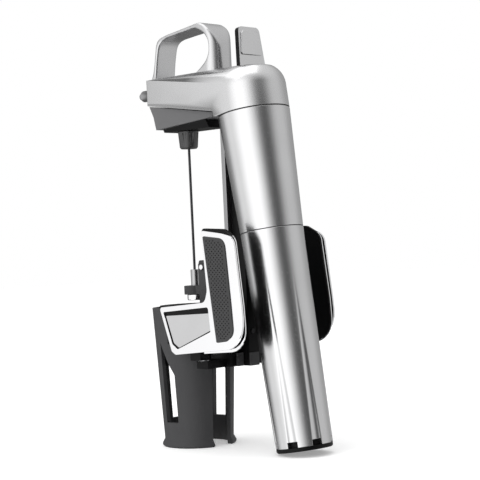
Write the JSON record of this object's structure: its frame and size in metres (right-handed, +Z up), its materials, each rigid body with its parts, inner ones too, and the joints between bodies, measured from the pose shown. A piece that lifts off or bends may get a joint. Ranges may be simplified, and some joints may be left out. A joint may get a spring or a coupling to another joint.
{
  "type": "wine preservation dispenser",
  "caption": "Hand-held wine preservation dispenser: loop handle, trigger, spout, needle, leaning gas-capsule cup and a sliding neck clamp with two squeeze wings",
  "frame": {"origin": "centre of the neck collar's lower opening, on the needle axis", "axes": "+Z up along the needle, -X towards the spout, +X towards the capsule cup, Y across; the middle plane is Y = 0"},
  "size_m": [0.1367, 0.0748, 0.2442],
  "materials": {
    "cast_silver": "satin silver finish on a light alloy die casting",
    "bright_chrome": "polished chrome plate",
    "dark_plastic": "dark grey moulded plastic, fine texture",
    "black_plastic": "black moulded plastic",
    "black_rubber": "soft black rubber, matt",
    "bright_steel": "brushed stainless steel",
    "yellow_brass": "turned brass",
    "grey_plastic": "mid grey moulded plastic, fine texture",
    "rail_steel": "grey brushed steel",
    "dark_steel": "steel with a dark low-friction coating"
  },
  "bodies": {
    "body": {"head_shell": "cast_silver", "chin_cover": "grey_plastic", "under_cover": "black_plastic", "loop_handle": "cast_silver", "sleeve_gasket": "black_rubber", "upper_sleeve": "cast_silver", "cup_collar": "black_plastic", "regulator_body": "yellow_brass", "capsule_seal": "black_rubber", "piercing_pin": "bright_steel", "regulator_spring": "bright_steel", "regulator_piston": "yellow_brass", "valve_body": "yellow_brass", "gas_tube": "bright_steel", "needle_socket": "yellow_brass", "hub_seal": "black_rubber", "spout_tube": "bright_steel", "spout_nozzle": "bright_chrome", "spout_tip": "bright_chrome", "rail_web": "black_plastic", "rail_strip": "rail_steel", "rail_stop": "dark_plastic", "rail_screws": "dark_steel", "trigger_pin": "bright_steel", "valve_spring": "bright_steel"},
    "trigger": {"trigger_lever": "cast_silver", "trigger_pad": "cast_silver"},
    "valve": {"valve_stem": "bright_steel"},
    "capsule": {"gas_capsule": "bright_steel"},
    "cup": {"capsule_cup": "cast_silver", "cup_liner": "black_plastic", "cup_end_ring": "black_plastic"},
    "needle_unit": {"needle_hub": "dark_plastic", "needle": "dark_steel"},
    "clamp": {"clamp_body": "black_plastic", "neck_skirt": "dark_plastic", "slide_liner": "dark_plastic", "skirt_screws": "bright_steel", "guide_arm": "dark_plastic", "guide_bumper": "black_rubber", "guide_tube": "bright_steel", "guide_foot": "bright_chrome", "guide_pin": "bright_chrome", "wing_pins": "bright_steel", "wing_springs": "bright_steel"},
    "left_wing": {"left_wing_back": "black_plastic", "left_wing_frame": "bright_chrome", "left_wing_rim": "bright_chrome", "left_grip_pad": "black_rubber", "left_wing_plate": "cast_silver", "left_jaw": "black_plastic", "left_jaw_pad": "black_rubber"},
    "right_wing": {"right_wing_back": "black_plastic", "right_wing_frame": "bright_chrome", "right_wing_rim": "bright_chrome", "right_grip_pad": "black_rubber", "right_wing_plate": "cast_silver", "right_jaw": "black_plastic", "right_jaw_pad": "black_rubber"}
  },
  "joints": [
    {"name": "clamp_slide", "type": "slide", "parent": "body", "child": "clamp", "axis": [0, 0, 1], "range_m": [0, 0.066]},
    {"name": "left_wing_turn", "type": "hinge", "parent": "clamp", "child": "left_wing", "pos_m": [0.03, -0.024, 0.06], "axis": [0, 0, 1], "range_deg": [0, 8], "stiffness_Nm_per_rad": 0.6},
    {"name": "right_wing_turn", "type": "hinge", "parent": "clamp", "child": "right_wing", "pos_m": [0.03, 0.024, 0.06], "axis": [0, 0, -1], "range_deg": [0, 8], "stiffness_Nm_per_rad": 0.6},
    {"name": "trigger_turn", "type": "hinge", "parent": "body", "child": "trigger", "pos_m": [0.0569, 0, 0.2047], "axis": [0, -1, 0], "range_deg": [0, 12], "stiffness_Nm_per_rad": 0.3},
    {"name": "valve_push", "type": "slide", "parent": "body", "child": "valve", "axis": [0.1426, 0, -0.9898], "range_m": [0, 0.00105], "deforming": ["valve_spring"]},
    {"name": "capsule_slide", "type": "slide", "parent": "body", "child": "capsule", "axis": [0.1426, 0, -0.9898], "range_m": [0, 0.11]},
    {"name": "cup_turn", "type": "hinge", "parent": "capsule", "child": "cup", "pos_m": [0.0815, 0, 0.00227], "axis": [0.1426, 0, -0.9898], "continuous": true},
    {"name": "needle_unscrew", "type": "hinge", "parent": "body", "child": "needle_unit", "pos_m": [0, 0, 0.18], "axis": [0, 0, -1], "continuous": true}
  ],
  "couplings": [
    {"joint": "valve_push", "follows": "trigger_turn", "m_per_rad": 0.0046}
  ]
}
